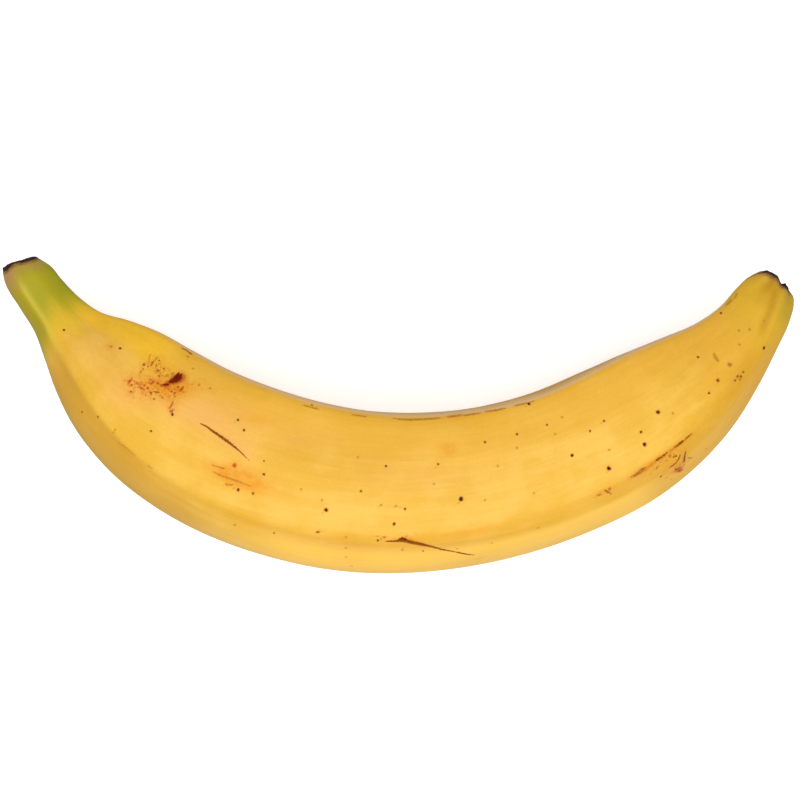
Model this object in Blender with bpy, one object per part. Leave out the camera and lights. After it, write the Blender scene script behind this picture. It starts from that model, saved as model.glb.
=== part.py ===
"""A ripe plantain lying on its side, as one solid.

Metres, +Z up. The fruit curves in the plane of the table: +X runs from the
cut stem to the blossom end, and its hollow side faces +Y. The origin is on the
table, under the middle of the fruit's box.
"""
import math

import bpy
import numpy as np

MM = 0.001

# The spine runs from the middle of the stem's cut to the middle of the blossom scar.
SPINE_LENGTH = 279.0 * MM
SPINE_HEADINGS = (  # share of the spine, direction in degrees from +X
    (0.0, -57.0),
    (0.1, -50.5),
    (0.3, -25.0),
    (0.5, -1.2),
    (0.7, 23.3),
    (0.9, 45.6),
    (1.0, 63.0),
)

# How far the skin stands from the spine in the plane of the curve.
REACH = (  # along the spine, towards the back, towards the hollow side (mm)
    (0, 4.7, 5.6),
    (4, 6.5, 7.4),
    (12, 7.2, 8.1),
    (20, 7.8, 9.1),
    (28, 10.4, 11.4),
    (36, 13.8, 16.1),
    (46, 17.6, 20.3),
    (60, 21.2, 22.9),
    (80, 23.9, 24.1),
    (115, 25.0, 24.3),
    (150, 24.5, 23.7),
    (190, 23.4, 22.0),
    (215, 22.6, 20.9),
    (227, 20.9, 19.5),
    (239, 18.1, 16.6),
    (251, 14.2, 12.9),
    (262, 10.9, 10.5),
    (270, 9.2, 9.6),
    (275, 7.6, 8.1),
    (277.5, 6.3, 6.0),
    (279, 4.4, 4.2),
)
THICKNESS = (  # share of the spine, height of a section for a width of 1
    (0.0, 0.96),
    (0.12, 0.92),
    (0.4, 0.88),
    (0.75, 0.88),
    (1.0, 0.94),
)

# A section is a five-sided rounded shape. Each flat side is a line at an angle
# and a distance; 0 degrees points to the back, 90 up, 180 to the hollow side.
SIDES = (  # angle in degrees, distance for a half width of 1
    (26, 0.90),
    (76, 0.90),
    (105, 0.87),
    (182, 0.95),
    (-89, 0.84),
    (-61, 0.93),
    (-33, 0.91),
)
RIDGE_SHARPNESS = (  # share of the spine, power of the rounded section
    (0.0, 5.0),
    (0.15, 8.0),
    (0.5, 10.0),
    (0.85, 9.0),
    (1.0, 6.0),
)
TWIST = (  # share of the spine, turn of the section in degrees
    (0.0, 19.0),
    (0.1, 13.0),
    (0.3, 3.0),
    (0.5, 0.0),
    (0.75, -2.0),
    (0.86, 1.0),
    (0.93, 9.0),
    (0.97, 17.0),
    (1.0, 19.0),
)

# The middle of the fruit lies on the table and both ends hang clear of it.
REST_MIDDLE = 132.0 * MM
REST_HALF_LENGTH = 42.0 * MM
REST_PRESS = 0.5 * MM  # how far the underside is flattened
REST_LIFT_LIMIT = 2.0 * MM
END_HEIGHT = 21.5 * MM  # of the spine, at both ends
LEVEL_SPAN = (45.0 * MM, 80.0 * MM, 190.0 * MM, 235.0 * MM)  # where it blends to the rest

# The stem was cut at a slant and its face has dried a little hollow.
CUT_SLANT = -0.26
CUT_BLEND = 14.0 * MM
CUT_DISH = 0.8 * MM
CUT_RINGS = (0.86, 0.55, 0.25)  # as shares of the rim

# The blossom scar is a small pit with a lip on the hollow side and, towards
# the back, the dry stub of the flower.
SCAR_SLANT = -0.05
SCAR_BLEND = 6.0 * MM
SCAR_LIP = 0.75 * MM  # how far the lip stands out
SCAR_STEP = 1.8 * MM
SCAR_STEP_RUN = 0.7  # share of the half width that the step runs over
SCAR_PIT = 0.9 * MM
SCAR_PIT_WALL = 0.4  # share of the half width that the pit's wall runs over
SCAR_RINGS = (0.88, 0.74, 0.58, 0.4, 0.2)
STUB_HEIGHT = 1.8 * MM
STUB_PLACE = 0.6  # from the middle of the scar towards the back, as a share
STUB_REACH = 0.32  # share of the half width over which the stub fades

SPINE_STEPS = 2000
RINGS = 78
POINTS_AROUND = 64
END_CROWDING = 0.72  # 0 spaces the rings evenly, 1 crowds them at the ends

PEEL_COLOUR = (0.87, 0.55, 0.08, 1.0)
PEEL_ROUGHNESS = 0.42


def smooth(stations, column, places):
    """Read one column of a station list at many places, on a smooth curve."""
    at = np.array([row[0] for row in stations], dtype=float)
    value = np.array([row[column] for row in stations], dtype=float)
    slope = np.gradient(value, at)
    left = np.clip(np.searchsorted(at, places, side="right") - 1, 0, len(at) - 2)
    span = at[left + 1] - at[left]
    t = (places - at[left]) / span
    rise = t * t * (3 - 2 * t)
    return (
        value[left] * (1 - rise)
        + value[left + 1] * rise
        + slope[left] * span * t * (1 - t) ** 2
        - slope[left + 1] * span * t * t * (1 - t)
    )


def ease(t):
    """Rise from 0 to 1 with level ends."""
    t = np.clip(t, 0, 1)
    return t * t * (3 - 2 * t)


def ring_places():
    """Distances along the spine, closer together towards both ends."""
    even = np.linspace(0, 1, RINGS)
    crowded = 0.5 - 0.5 * np.cos(math.pi * even)
    return SPINE_LENGTH * (even * (1 - END_CROWDING) + crowded * END_CROWDING)


def spine_points(places):
    """Position and heading of the spine at each place, by adding up short steps."""
    steps = np.linspace(0, SPINE_LENGTH, SPINE_STEPS)
    heading = np.radians(smooth(SPINE_HEADINGS, 1, steps / SPINE_LENGTH))
    stride = steps[1] - steps[0]
    east = np.cumsum(np.cos(heading)) * stride
    north = np.cumsum(np.sin(heading)) * stride
    return (
        np.interp(places, steps, east),
        np.interp(places, steps, north),
        np.interp(places, steps, heading),
    )


def unit_section(share, angles):
    """Rounded five-sided outline at each share of the spine, from -1 to 1 both ways."""
    power = smooth(RIDGE_SHARPNESS, 1, share)[:, None]
    twist = np.radians(smooth(TWIST, 1, share))[:, None]
    pull = np.zeros((len(share), len(angles)))
    for side_angle, distance in SIDES:
        facing = np.cos(angles[None, :] - math.radians(side_angle) - twist)
        pull += (np.maximum(facing, 0) / distance) ** power
    radius = pull ** (-1 / power)
    back = radius * np.cos(angles)
    up = radius * np.sin(angles)
    return centred(back), centred(up)


def centred(values):
    """Shift and scale each row to run from -1 to 1."""
    low = values.min(axis=1, keepdims=True)
    high = values.max(axis=1, keepdims=True)
    return (values - (low + high) / 2) / ((high - low) / 2)


def spine_height(places, half_height):
    """Height of the spine, so that the underside is nearly level in the middle."""
    rise_from, level_from, level_to, rise_to = LEVEL_SPAN
    level = ease((places - rise_from) / (level_from - rise_from))
    level *= ease((rise_to - places) / (rise_to - level_to))
    lift = REST_PRESS * ((places - REST_MIDDLE) / REST_HALF_LENGTH) ** 2
    lift = np.minimum(lift, REST_LIFT_LIMIT) - REST_PRESS
    return END_HEIGHT + (half_height + lift - END_HEIGHT) * level


def skin_rings():
    """The skin as rings of points, stem first."""
    places = ring_places()
    share = places / SPINE_LENGTH
    angles = np.linspace(0, 2 * math.pi, POINTS_AROUND, endpoint=False)
    east, north, heading = spine_points(places)
    to_back = smooth(REACH, 1, places / MM) * MM
    to_hollow = smooth(REACH, 2, places / MM) * MM
    half_width = (to_back + to_hollow) / 2
    half_height = half_width * smooth(THICKNESS, 1, share)
    section_back, section_up = unit_section(share, angles)
    back = section_back * half_width[:, None] + ((to_back - to_hollow) / 2)[:, None]
    up = section_up * half_height[:, None]
    near_cut = ease(1 - places / CUT_BLEND)[:, None]
    near_scar = ease(1 - (SPINE_LENGTH - places) / SCAR_BLEND)[:, None]
    along = back * CUT_SLANT * near_cut
    along += (back * SCAR_SLANT + scar_step(section_back)) * near_scar
    forward = np.stack([np.cos(heading), np.sin(heading)])[:, :, None]
    outward = np.stack([np.sin(heading), -np.cos(heading)])[:, :, None]
    x = east[:, None] + along * forward[0] + back * outward[0]
    y = north[:, None] + along * forward[1] + back * outward[1]
    z = spine_height(places, half_height)[:, None] + up
    return np.stack([x, y, z], axis=2), heading


def scar_step(back):
    """The rim of the scar steps down towards the back."""
    return SCAR_LIP - SCAR_STEP * ease(0.5 + back / SCAR_STEP_RUN)


def cut_relief(back, up):
    """The cut face sinks towards its middle."""
    return -CUT_DISH * (1 - back ** 2 - up ** 2)


def scar_relief(back, up):
    """The scar sinks in a pit behind its lip and rises in a stub."""
    inside = 1 - np.hypot(back, up)
    stub = STUB_HEIGHT * np.exp(-((back - STUB_PLACE) ** 2 + up ** 2) / STUB_REACH ** 2)
    return stub - SCAR_PIT * ease(inside / SCAR_PIT_WALL)


def close_end(rim, way, shares, relief):
    """Rings and a pole that close an end, raised along its way by a relief."""
    middle = rim.mean(axis=0)
    angles = np.linspace(0, 2 * math.pi, POINTS_AROUND, endpoint=False)
    rings = []
    for share in shares:
        height = relief(share * np.cos(angles), share * np.sin(angles))
        rings.append(middle + (rim - middle) * share + height[:, None] * way)
    return rings, middle + relief(0.0, 0.0) * way


def plantain_points():
    """All points, ring by ring and then the two poles, with the origin set."""
    skin, heading = skin_rings()
    stem_way = np.array([-math.cos(heading[0]), -math.sin(heading[0]), 0])
    tip_way = np.array([math.cos(heading[-1]), math.sin(heading[-1]), 0])
    cut, cut_pole = close_end(skin[0], stem_way, CUT_RINGS, cut_relief)
    scar, scar_pole = close_end(skin[-1], tip_way, SCAR_RINGS, scar_relief)
    rings = cut[::-1] + list(skin) + scar
    everything = np.concatenate([*rings, [cut_pole], [scar_pole]])
    everything[:, 2] = np.maximum(everything[:, 2], 0)
    low = everything.min(axis=0)
    high = everything.max(axis=0)
    shift = np.array([(low[0] + high[0]) / 2, (low[1] + high[1]) / 2, low[2]])
    return everything - shift, len(rings)


def plantain_faces(ring_count):
    """Four-sided faces between the rings and a fan at each pole."""
    faces = []
    for ring in range(ring_count - 1):
        for point in range(POINTS_AROUND):
            following = (point + 1) % POINTS_AROUND
            near = ring * POINTS_AROUND
            far = near + POINTS_AROUND
            faces.append((near + point, far + point, far + following, near + following))
    stem_pole = ring_count * POINTS_AROUND
    last = stem_pole - POINTS_AROUND
    for point in range(POINTS_AROUND):
        following = (point + 1) % POINTS_AROUND
        faces.append((stem_pole, point, following))
        faces.append((stem_pole + 1, last + following, last + point))
    return faces


def peel_material():
    material = bpy.data.materials.new("peel")
    material.use_nodes = True
    shader = material.node_tree.nodes["Principled BSDF"]
    shader.inputs["Base Color"].default_value = PEEL_COLOUR
    shader.inputs["Roughness"].default_value = PEEL_ROUGHNESS
    shader.inputs["Metallic"].default_value = 0.0
    return material


def make_plantain():
    points, ring_count = plantain_points()
    mesh = bpy.data.meshes.new("plantain")
    mesh.from_pydata(points.tolist(), [], plantain_faces(ring_count))
    mesh.materials.append(peel_material())
    mesh.shade_smooth()
    plantain = bpy.data.objects.new("plantain", mesh)
    bpy.context.scene.collection.objects.link(plantain)
    return plantain


def main():
    for thing in list(bpy.data.objects):
        bpy.data.objects.remove(thing, do_unlink=True)
    make_plantain()


main()
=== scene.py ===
import math

import bpy
import numpy as np
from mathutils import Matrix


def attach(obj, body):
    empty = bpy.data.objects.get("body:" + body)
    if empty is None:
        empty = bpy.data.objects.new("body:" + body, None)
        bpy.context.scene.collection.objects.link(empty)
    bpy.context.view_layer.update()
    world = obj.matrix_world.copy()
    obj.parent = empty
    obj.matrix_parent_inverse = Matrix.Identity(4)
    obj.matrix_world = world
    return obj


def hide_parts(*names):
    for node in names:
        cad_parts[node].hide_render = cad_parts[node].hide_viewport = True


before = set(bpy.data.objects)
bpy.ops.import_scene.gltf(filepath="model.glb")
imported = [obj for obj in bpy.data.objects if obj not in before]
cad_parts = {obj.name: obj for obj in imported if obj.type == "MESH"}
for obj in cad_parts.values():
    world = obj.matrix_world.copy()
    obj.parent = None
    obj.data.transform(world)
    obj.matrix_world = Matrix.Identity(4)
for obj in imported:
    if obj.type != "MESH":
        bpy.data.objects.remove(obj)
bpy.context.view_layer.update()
print("frame loaded")

mm = 0.001

# Lengths are in mm, turned to metres when a mesh is made.
fruit = {
    "spineLength": 279.0,  # from the middle of the cut to the middle of the scar
    "headings": (  # share of the spine, direction in degrees from +X
        (0.0, -57.0), (0.1, -50.5), (0.3, -25.0), (0.5, -1.2), (0.7, 23.3), (0.9, 45.6), (1.0, 63.0),
    ),
    "reach": (  # along the spine, towards the back, towards the hollow side
        (0, 4.7, 5.6), (4, 6.5, 7.4), (12, 7.2, 8.1), (20, 7.8, 9.1), (28, 10.4, 11.4),
        (36, 13.8, 16.1), (46, 17.6, 20.3), (60, 21.2, 22.9), (80, 23.9, 24.1), (115, 25.0, 24.3),
        (150, 24.5, 23.7), (190, 23.4, 22.0), (215, 22.6, 20.9), (227, 20.9, 19.5), (239, 18.1, 16.6),
        (251, 14.2, 12.9), (262, 10.9, 10.5), (270, 9.2, 9.6), (275, 7.6, 8.1), (277.5, 6.3, 6.0),
        (279, 4.4, 4.2),
    ),
    "thickness": (  # share of the spine, height of a section for a width of 1
        (0.0, 0.96), (0.12, 0.92), (0.4, 0.88), (0.75, 0.88), (1.0, 0.94),
    ),
    "sides": (  # angle in degrees from the back, distance for a half width of 1
        (26, 0.90), (76, 0.90), (105, 0.87), (182, 0.95), (-89, 0.84), (-61, 0.93), (-33, 0.91),
    ),
    "ridgeSharpness": (  # share of the spine, power of the rounded section
        (0.0, 5.0), (0.15, 8.0), (0.5, 10.0), (0.85, 9.0), (1.0, 6.0),
    ),
    "twist": (  # share of the spine, turn of the section in degrees
        (0.0, 19.0), (0.1, 13.0), (0.3, 3.0), (0.5, 0.0), (0.75, -2.0), (0.86, 1.0), (0.93, 9.0),
        (0.97, 17.0), (1.0, 19.0),
    ),
    "restMiddle": 132.0, "restHalfLength": 42.0, "restPress": 0.5, "restLiftLimit": 2.0,
    "endHeight": 21.5, "levelSpan": (45.0, 80.0, 190.0, 235.0),
    "cutSlant": -0.26, "cutBlend": 14.0, "scarSlant": -0.05, "scarBlend": 6.0,
    "scarLip": 0.75, "scarStep": 1.8, "scarStepRun": 0.7,
    "spineSteps": 2000, "rings": 372, "pointsAround": 236, "endCrowding": 0.82,
}

relief = {
    "bodyRun": 40.0,  # over how far most of the relief fades out towards both ends
    "ridgeRise": 0.28, "ridgeWidth": 1.7, "ridgeAtEnds": 0.35,  # a fine crest on each ridge
    # a shallow dip beside one ridge: its places from that ridge, and where it moves from one to the next
    "creaseDepth": 0.22, "creaseWidth": 2.2, "creaseLine": (-3.0, -0.6, 1.4),
    "creaseMoves": ((45.0, 95.0), (100.0, 210.0)),
    # waves: a length along and a length across that theirs are near, and how many
    "swell": 0.16, "swellWaves": (46, 30, 9), "swellTilt": 1.3,
    "rib": 0.035, "ribWaves": (160, 14, 12),
    "neckFold": 0.14, "neckFoldWaves": (90, 48, 8), "neckFoldIn": (0.0, 4.0), "neckFoldOut": (52.0, 22.0),
    "grooveDepth": 0.6, "grooveWidth": 1.5, "grooveOffset": 2.0,  # beside the ridge at the tip
    "grooveIn": (260.0, 267.0), "grooveOut": (278.0, 274.0),
    "pucker": 0.3, "puckerFolds": 9, "puckerTurn": 1.0, "puckerSpan": 9.0, "puckerRim": 1.5,
    "raggedCut": 0.35, "raggedCutSpan": 2.5, "raggedScar": 0.3, "raggedScarSpan": 2.0,
    "rimWaves": (2, 3, 5, 8, 13),
}

ends = {
    "roughFrom": 2 / 3,  # share of the rim inside which the small bumps are full
    "cutRings": 14, "cutDish": 0.8, "cutRim": 0.25, "cutRimPlace": 0.93, "cutRimWidth": 0.05,
    "fibreHeight": 0.1, "fibreWaves": (0.3, 0.3, 10),
    "scarRings": 18, "pitDepth": 1.1, "pitWall": 0.35,
    "stubHeight": 1.9, "stubPlace": 0.6, "stubReach": 0.32, "stubEdge": 1.6,
    "crumbHeight": 0.12, "crumbWaves": (0.35, 0.35, 10),
}

seeds = {
    "cutRim": 3, "scarRim": 7, "swell": 11, "rib": 5, "neckFold": 21, "cutFace": 31, "scarFace": 41,
    "hidden": 12, "wander": 61, "mottle": 62,
}

view = {
    "lens": 100.0, "sensor": 36.0, "pixels": 800,
    "focusHeight": 21.5,  # height of the widest outline above the table, in mm
    "middle": (397.9, 414.7),  # pixel of the photograph over the origin
    "pixelSize": 240.0 / 790.0,  # mm for a pixel at that height
}
view["distance"] = view["pixels"] * view["pixelSize"] * view["lens"] / view["sensor"]
view["height"] = view["focusHeight"] + view["distance"]
view["x"] = (view["pixels"] / 2 - view["middle"][0]) * view["pixelSize"]
view["y"] = (view["middle"][1] - view["pixels"] / 2) * view["pixelSize"]


def hexColour(text):
    # sRGB hex to linear
    parts = np.array([int(text[i:i + 2], 16) / 255 for i in (0, 2, 4)])
    linear = np.where(parts <= 0.04045, parts / 12.92, ((parts + 0.055) / 1.055) ** 2.4)
    return (*(float(value) for value in linear), 1.0)


def addNode(tree, kind, settings, inputs, output=0):
    # a node with its settings and with its inputs set or linked, which hands back one of its outputs
    node = tree.nodes.new("ShaderNode" + kind)
    for name, value in settings.items():
        setattr(node, name, value)
    for name, value in inputs.items():
        if isinstance(value, bpy.types.NodeSocket):
            tree.links.new(value, node.inputs[name])
        else:
            node.inputs[name].default_value = value
    return node.outputs[output]


def curveThrough(stations, column, places):
    # cubic between stations, with the slope at each station taken from its neighbours
    at = np.array([row[0] for row in stations], dtype=float)
    value = np.array([row[column] for row in stations], dtype=float)
    slope = np.gradient(value, at)
    left = np.clip(np.searchsorted(at, places, side="right") - 1, 0, len(at) - 2)
    span = at[left + 1] - at[left]
    t = (places - at[left]) / span
    rise = t * t * (3 - 2 * t)
    bend = slope[left] * span * t * (1 - t) ** 2 - slope[left + 1] * span * t * t * (1 - t)
    return value[left] * (1 - rise) + value[left + 1] * rise + bend


def ease(t):
    # 0 to 1 with level ends
    t = np.clip(t, 0, 1)
    return t * t * (3 - 2 * t)


def fade(value, none, full):
    # 0 up to none and 1 from full on, also where full is the lower of the two
    return ease((value - none) / (full - none))


def bell(distance, width):
    # 1 on the line, fading as a bell curve across it
    return np.exp(-(distance / width) ** 2)


def ripple(first, second, waves, seed):
    # sum of sine waves in random directions, whose lengths are near the two given with their count
    firstLength, secondLength, count = waves
    draw = np.random.default_rng(seed)
    total = 0
    for _ in range(count):
        turn = draw.uniform(0, 2 * math.pi)
        size = draw.uniform(0.6, 1.5)
        phase = draw.uniform(0, 2 * math.pi)
        travel = first / firstLength * math.cos(turn) + second / secondLength * math.sin(turn)
        total = total + np.sin(2 * math.pi * travel * size + phase)
    return total / math.sqrt(count)


def ringPlaces():
    # even spacing mixed with a cosine spacing that crowds rings at both ends
    even = np.linspace(0, 1, fruit["rings"])
    crowded = 0.5 - 0.5 * np.cos(math.pi * even)
    return fruit["spineLength"] * (even * (1 - fruit["endCrowding"]) + crowded * fruit["endCrowding"])


def spinePath(places):
    # the heading is added up in short steps, which gives x and y of the spine
    steps = np.linspace(0, fruit["spineLength"], fruit["spineSteps"])
    heading = np.radians(curveThrough(fruit["headings"], 1, steps / fruit["spineLength"]))
    east = np.cumsum(np.cos(heading)) * steps[1]
    north = np.cumsum(np.sin(heading)) * steps[1]
    return [np.interp(places, steps, values) for values in (east, north, heading)]


def centred(values):
    # each row shifted and scaled to run from -1 to 1
    low = values.min(axis=1, keepdims=True)
    high = values.max(axis=1, keepdims=True)
    return (values - (low + high) / 2) / ((high - low) / 2)


def halfTurn(angle):
    # the same angle in degrees between -180 and 180
    return (angle + 180) % 360 - 180


def sectionOutline(share, angles):
    # radius = (sum over sides of (cos(angle to the side) / distance) ^ power) ^ (-1 / power)
    power = curveThrough(fruit["ridgeSharpness"], 1, share)[:, None]
    twist = np.radians(curveThrough(fruit["twist"], 1, share))[:, None]
    pull = 0
    for sideAngle, distance in fruit["sides"]:
        facing = np.cos(angles[None, :] - math.radians(sideAngle) - twist)
        pull = pull + (np.maximum(facing, 0) / distance) ** power
    radius = pull ** (-1 / power)
    return centred(radius * np.cos(angles)), centred(radius * np.sin(angles))


def spineHeight(places, halfHeight):
    # level underside in the middle, a set height at both ends
    riseFrom, levelFrom, levelTo, riseTo = fruit["levelSpan"]
    level = fade(places, riseFrom, levelFrom) * fade(places, riseTo, levelTo)
    lift = fruit["restPress"] * ((places - fruit["restMiddle"]) / fruit["restHalfLength"]) ** 2
    lift = np.minimum(lift, fruit["restLiftLimit"]) - fruit["restPress"]
    return fruit["endHeight"] + (halfHeight + lift - fruit["endHeight"]) * level


def sideCorner(first, second):
    # the angle at which the lines of two neighbouring sides cross
    (a, reachA), (b, reachB) = fruit["sides"][first], fruit["sides"][second]
    a, b = math.radians(a), math.radians(b)
    x = (reachA * math.sin(b) - reachB * math.sin(a)) / math.sin(b - a)
    y = (reachB * math.cos(a) - reachA * math.cos(b)) / math.sin(b - a)
    return math.degrees(math.atan2(y, x))


ridges = {
    "back": sideCorner(6, 0),
    "upperBack": sideCorner(0, 1),
    "upperHollow": sideCorner(2, 3),
    "lowerHollow": sideCorner(3, 4),
    "lowerBack": sideCorner(5, 6),
}


def skinSurface():
    # the section carried along the spine, slanted at the cut and at the scar
    places = ringPlaces()
    share = places / fruit["spineLength"]
    toScar = fruit["spineLength"] - places
    angles = np.linspace(0, 2 * math.pi, fruit["pointsAround"], endpoint=False)
    east, north, heading = spinePath(places)
    toBack = curveThrough(fruit["reach"], 1, places)
    toHollow = curveThrough(fruit["reach"], 2, places)
    halfWidth = (toBack + toHollow) / 2
    halfHeight = halfWidth * curveThrough(fruit["thickness"], 1, share)
    sectionBack, sectionUp = sectionOutline(share, angles)
    back = sectionBack * halfWidth[:, None] + ((toBack - toHollow) / 2)[:, None]
    up = sectionUp * halfHeight[:, None]
    step = fruit["scarLip"] - fruit["scarStep"] * ease(0.5 + sectionBack / fruit["scarStepRun"])
    along = back * fruit["cutSlant"] * fade(places, fruit["cutBlend"], 0)[:, None]
    along = along + (back * fruit["scarSlant"] + step) * fade(toScar, fruit["scarBlend"], 0)[:, None]
    cutRim = raggedRim(angles, seeds["cutRim"]) * fade(places, relief["raggedCutSpan"], 0)[:, None]
    scarRim = raggedRim(angles, seeds["scarRim"]) * fade(toScar, relief["raggedScarSpan"], 0)[:, None]
    along = along + relief["raggedCut"] * cutRim + relief["raggedScar"] * scarRim
    x = east[:, None] + along * np.cos(heading)[:, None] + back * np.sin(heading)[:, None]
    y = north[:, None] + along * np.sin(heading)[:, None] - back * np.cos(heading)[:, None]
    z = spineHeight(places, halfHeight)[:, None] + up
    points = np.stack([x, y, z], axis=2)
    low, high = points.min(axis=(0, 1)), points.max(axis=(0, 1))
    shift = np.array([*((low + high) / 2)[:2], 0])
    twist = curveThrough(fruit["twist"], 1, share)
    around = halfTurn(np.degrees(angles)[None, :] - twist[:, None])  # 0 back, 90 up, 180 hollow side
    return {
        "points": points - shift, "angles": angles, "heading": heading, "around": around, "back": back,
        "up": up, "places": places[:, None] + 0 * back, "toScar": toScar[:, None] + 0 * back,
        "along": places[:, None] + along,
    }


def raggedRim(angles, seed):
    # small waves round a rim, a whole number of each so that the rim closes
    draw = np.random.default_rng(seed)
    total = 0
    for count in relief["rimWaves"]:
        total = total + np.sin(count * angles + draw.uniform(0, 2 * math.pi)) / count ** 0.7
    return total / 2


def surfaceNormals(points):
    # cross product of the steps along and around the grid
    alongStep = np.gradient(points, axis=0)
    aroundStep = np.roll(points, -1, axis=1) - np.roll(points, 1, axis=1)
    normal = np.cross(alongStep, aroundStep)
    return normal / np.linalg.norm(normal, axis=2, keepdims=True)


def arcLength(skin, turn):
    # mm round the fruit for a turn in degrees
    return np.radians(halfTurn(turn)) * np.hypot(skin["back"], skin["up"])


def ridgeDistance(skin, ridge):
    # mm from a ridge, positive towards larger fruit angles
    return arcLength(skin, skin["around"] - ridges[ridge])


def backRidgeDistance(skin):
    # mm from the nearer of the two ridges beside the back, positive away from the back
    upper, lower = ridgeDistance(skin, "upperBack"), -ridgeDistance(skin, "lowerBack")
    return np.where(skin["around"] > 0, upper, lower)


def creaseDistance(skin):
    # a soft dip that runs below that ridge near the stem and crosses it towards the tip
    below, middle, above = relief["creaseLine"]
    toMiddle, toAbove = (fade(skin["places"], *move) for move in relief["creaseMoves"])
    return backRidgeDistance(skin) - (below + (middle - below) * toMiddle + (above - middle) * toAbove)


def skinRelief(skin):
    # crests on the ridges, swells, ribs, folds at the neck and puckers at the tip are added up, and a dip
    # and a groove taken off, each times the stretch of the fruit that it belongs to
    places, toScar, along, around = skin["places"], skin["toScar"], skin["along"], skin["around"]
    body = fade(places, 0, relief["bodyRun"]) * fade(toScar, 0, relief["bodyRun"])
    crest = sum(bell(ridgeDistance(skin, ridge), relief["ridgeWidth"]) for ridge in ridges)
    total = relief["ridgeRise"] * crest * (relief["ridgeAtEnds"] + (1 - relief["ridgeAtEnds"]) * body)
    total -= relief["creaseDepth"] * bell(creaseDistance(skin), relief["creaseWidth"]) * body
    across = skin["back"] + relief["swellTilt"] * skin["up"]
    total += relief["swell"] * ripple(along, across, relief["swellWaves"], seeds["swell"]) * body
    total += relief["rib"] * ripple(along, around, relief["ribWaves"], seeds["rib"]) * body
    neck = fade(places, *relief["neckFoldIn"]) * fade(places, *relief["neckFoldOut"])
    total += relief["neckFold"] * ripple(along, around, relief["neckFoldWaves"], seeds["neckFold"]) * neck
    groove = bell(ridgeDistance(skin, "upperBack") - relief["grooveOffset"], relief["grooveWidth"])
    groove = groove * fade(places, *relief["grooveIn"]) * fade(places, *relief["grooveOut"])
    total -= relief["grooveDepth"] * groove
    folds = np.sin(relief["puckerFolds"] * np.radians(around) + relief["puckerTurn"])
    folds = folds * fade(toScar, relief["puckerSpan"], 0) * fade(toScar, 0, relief["puckerRim"])
    return total + relief["pucker"] * folds


def faceDisc(skin, ringCount):
    # shares of the rim from outside in, and the place of every point on a disc of radius 1
    shares = np.linspace(1, 0, ringCount + 2)[1:-1, None]
    return shares, shares * np.cos(skin["angles"]), shares * np.sin(skin["angles"])


def closeEnd(rim, way, shares, heights):
    # rings shrink from the rim to its middle and are raised along the end's own direction
    middle = rim.mean(axis=0)
    return middle + (rim - middle) * shares[:, :, None] + heights[:, :, None] * way, middle


def cutFace(skin):
    # a dried cut: a raised rim, a dish, and the ends of the fibres as small bumps
    shares, x, y = faceDisc(skin, ends["cutRings"])
    dish = -ends["cutDish"] * (1 - shares ** 2)
    rim = ends["cutRim"] * bell(shares - ends["cutRimPlace"], ends["cutRimWidth"])
    fibres = ripple(x, y, ends["fibreWaves"], seeds["cutFace"]) * fade(shares, 1, ends["roughFrom"])
    way = -np.array([math.cos(skin["heading"][0]), math.sin(skin["heading"][0]), 0])
    heights = dish + rim + ends["fibreHeight"] * fibres
    rings, middle = closeEnd(skin["points"][0], way, shares, heights)
    return rings, middle - way * ends["cutDish"]


def scarFace(skin):
    # the pit behind the lip, the dry stub of the flower towards the back, and small crumbs of dry tissue
    shares, x, y = faceDisc(skin, ends["scarRings"])
    fromStub = ((x - ends["stubPlace"]) ** 2 + y ** 2) / ends["stubReach"] ** 2
    stub = ends["stubHeight"] * np.exp(-fromStub ** ends["stubEdge"])
    pit = -ends["pitDepth"] * fade(shares, 1, 1 - ends["pitWall"])
    crumbs = ripple(x, y, ends["crumbWaves"], seeds["scarFace"]) * fade(shares, 1, ends["roughFrom"])
    way = np.array([math.cos(skin["heading"][-1]), math.sin(skin["heading"][-1]), 0])
    heights = stub + pit + ends["crumbHeight"] * crumbs
    rings, middle = closeEnd(skin["points"][-1], way, shares, heights)
    return rings, middle - way * ends["pitDepth"]


def gridFaces(ringCount, width):
    # quads between rings, and a fan of triangles at each pole
    ring, point = np.meshgrid(np.arange(ringCount - 1), np.arange(width), indexing="ij")
    following = (point + 1) % width
    near, far = ring * width, (ring + 1) * width
    quads = np.stack([near + point, far + point, far + following, near + following], axis=2).reshape(-1, 4)
    first = np.arange(width)
    second = (first + 1) % width
    pole, last = ringCount * width, (ringCount - 1) * width
    stemFan = np.stack([np.full(width, pole), first, second], axis=1)
    tipFan = np.stack([np.full(width, pole + 1), last + second, last + first], axis=1)
    return quads.tolist() + stemFan.tolist() + tipFan.tolist()


def photoPixel(points):
    # where the camera over the fruit sees points given in mm
    scale = view["pixels"] * view["lens"] / view["sensor"] / (view["height"] - points[..., 2])
    column = view["pixels"] / 2 + (points[..., 0] - view["x"]) * scale
    row = view["pixels"] / 2 - (points[..., 1] - view["y"]) * scale
    return column, row


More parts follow.
